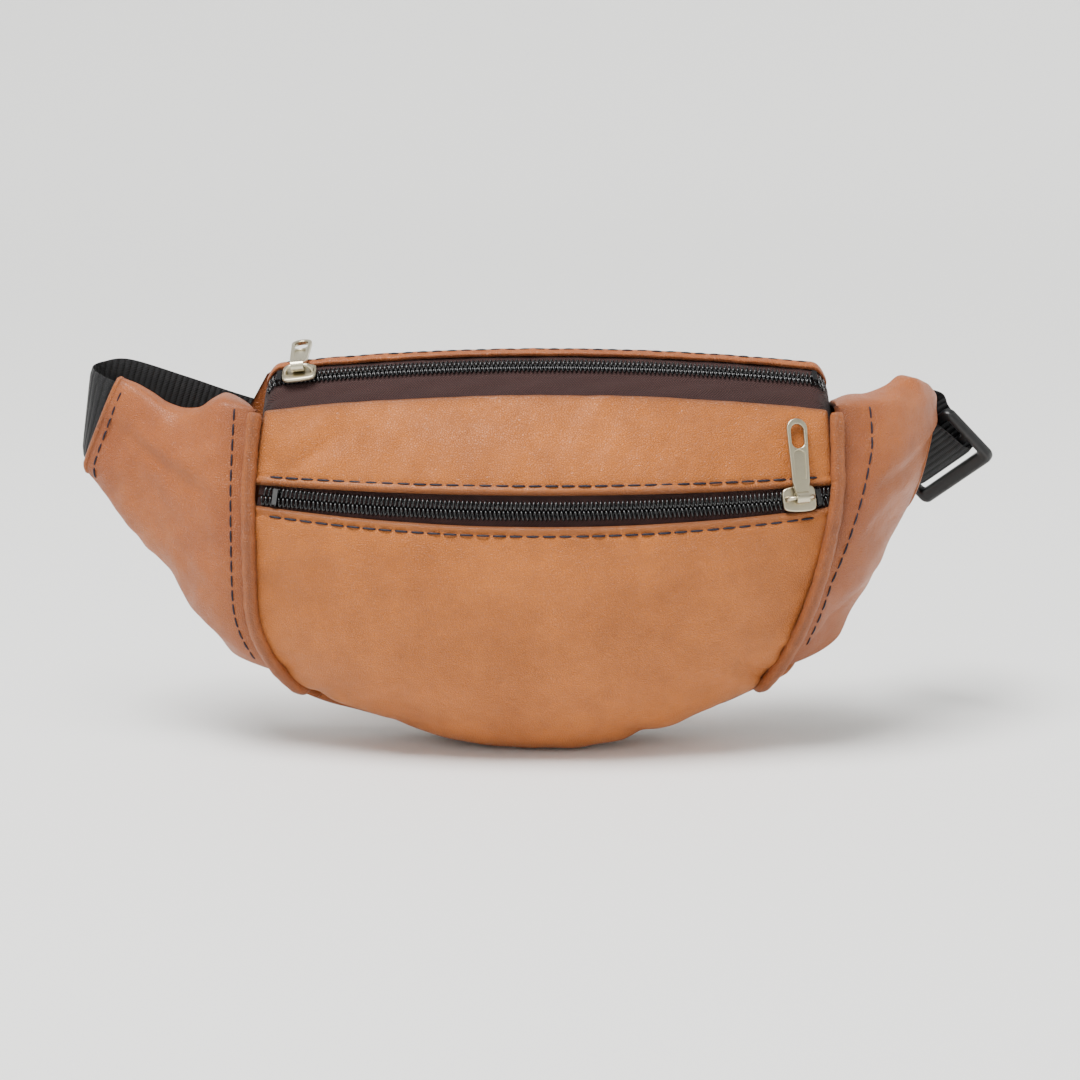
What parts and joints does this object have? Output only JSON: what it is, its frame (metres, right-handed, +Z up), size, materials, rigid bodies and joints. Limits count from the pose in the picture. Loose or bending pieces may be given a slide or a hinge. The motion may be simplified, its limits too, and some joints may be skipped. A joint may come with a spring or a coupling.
{
  "type": "waist pack",
  "caption": "Leather waist pack with a zipped main compartment, a zipped front pocket, corded side seams, two wings and a folded webbing belt with a side-release buckle.",
  "frame": {"origin": "middle of the bounding box seen from above, at the lowest point of the pack", "axes": "+X to the viewer's right across the front, +Y to the wearer's side (back), +Z up as worn"},
  "size_m": [0.3159, 0.0933, 0.1368],
  "materials": {
    "front_leather": "smooth pebbled tan leather",
    "wing_leather": "pebbled tan leather, slightly pinker",
    "piping_leather": "tan leather rolled over a cord",
    "foam": "foam padding",
    "lining": "woven lining",
    "zip_tape": "dark brown herringbone tape",
    "zip_coil": "black nylon coil",
    "nickel": "satin nickel plate",
    "thread": "navy black waxed thread",
    "webbing": "black ribbed webbing",
    "buckle_plastic": "black acetal"
  },
  "bodies": {
    "bag": {"front_upper_panel": "front_leather", "front_lower_panel": "front_leather", "left_wing": "wing_leather", "right_wing": "wing_leather", "left_piping": "piping_leather", "right_piping": "piping_leather", "back_panel": "wing_leather", "back_top_band": "wing_leather", "bottom_rim": "piping_leather", "back_padding": "foam", "back_lining": "lining", "pocket_lining": "lining", "main_tape_front": "zip_tape", "main_tape_back": "zip_tape", "main_chain_front": "zip_coil", "main_chain_back": "zip_coil", "main_end_stops": "nickel", "front_tape_upper": "zip_tape", "front_tape_lower": "zip_tape", "front_chain_upper": "zip_coil", "front_chain_lower": "zip_coil", "front_end_stops": "nickel", "zip_seam_upper_stitches": "thread", "zip_seam_lower_stitches": "thread", "left_piping_stitches": "thread", "right_piping_stitches": "thread", "top_band_stitches": "thread", "left_strap": "webbing", "right_strap": "webbing", "left_strap_tack": "thread", "buckle_socket": "buckle_plastic", "buckle_plug": "buckle_plastic"},
    "main_slider": {"main_slider": "nickel", "main_slider_bail": "nickel"},
    "main_pull": {"main_pull": "nickel"},
    "front_slider": {"front_slider": "nickel", "front_slider_bail": "nickel"},
    "front_pull": {"front_pull": "nickel"},
    "adjuster": {"adjuster": "buckle_plastic"},
    "upper_latch": {"upper_latch": "buckle_plastic"},
    "lower_latch": {"lower_latch": "buckle_plastic"}
  },
  "joints": [
    {"name": "main_slider_travel", "type": "hinge", "parent": "bag", "child": "main_slider", "pos_m": [0.0028, 0.29353, -0.52168], "axis": [0, 0.9063, 0.4226], "range_deg": [0, 13.12]},
    {"name": "main_pull_swing", "type": "hinge", "parent": "main_slider", "child": "main_pull", "pos_m": [-0.08027, -0.01123, 0.13189], "axis": [0.9934, -0.0484, 0.1037], "range_deg": [0, 150]},
    {"name": "front_slider_travel", "type": "hinge", "parent": "bag", "child": "front_slider", "pos_m": [0.0028, 0.29854, 0.14792], "axis": [0, 0.1736, -0.9848], "range_deg": [0, 27.78]},
    {"name": "front_pull_swing", "type": "hinge", "parent": "front_slider", "child": "front_pull", "pos_m": [0.08643, -0.03476, 0.09215], "axis": [0.9707, 0.2366, 0.0417], "range_deg": [0, 155]},
    {"name": "adjuster_swing", "type": "hinge", "parent": "bag", "child": "adjuster", "pos_m": [0.1406, 0.03025, 0.09266], "axis": [0.5017, -0.6462, 0.575], "range_deg": [-5, 5]},
    {"name": "upper_latch_press", "type": "hinge", "parent": "bag", "child": "upper_latch", "pos_m": [-0.01127, 0.01395, 0.09445], "axis": [0, -1, 0], "range_deg": [0, 6], "stiffness_Nm_per_rad": 0.08},
    {"name": "lower_latch_press", "type": "hinge", "parent": "bag", "child": "lower_latch", "pos_m": [-0.01431, 0.01395, 0.07287], "axis": [0, 1, 0], "range_deg": [0, 6], "stiffness_Nm_per_rad": 0.08}
  ]
}
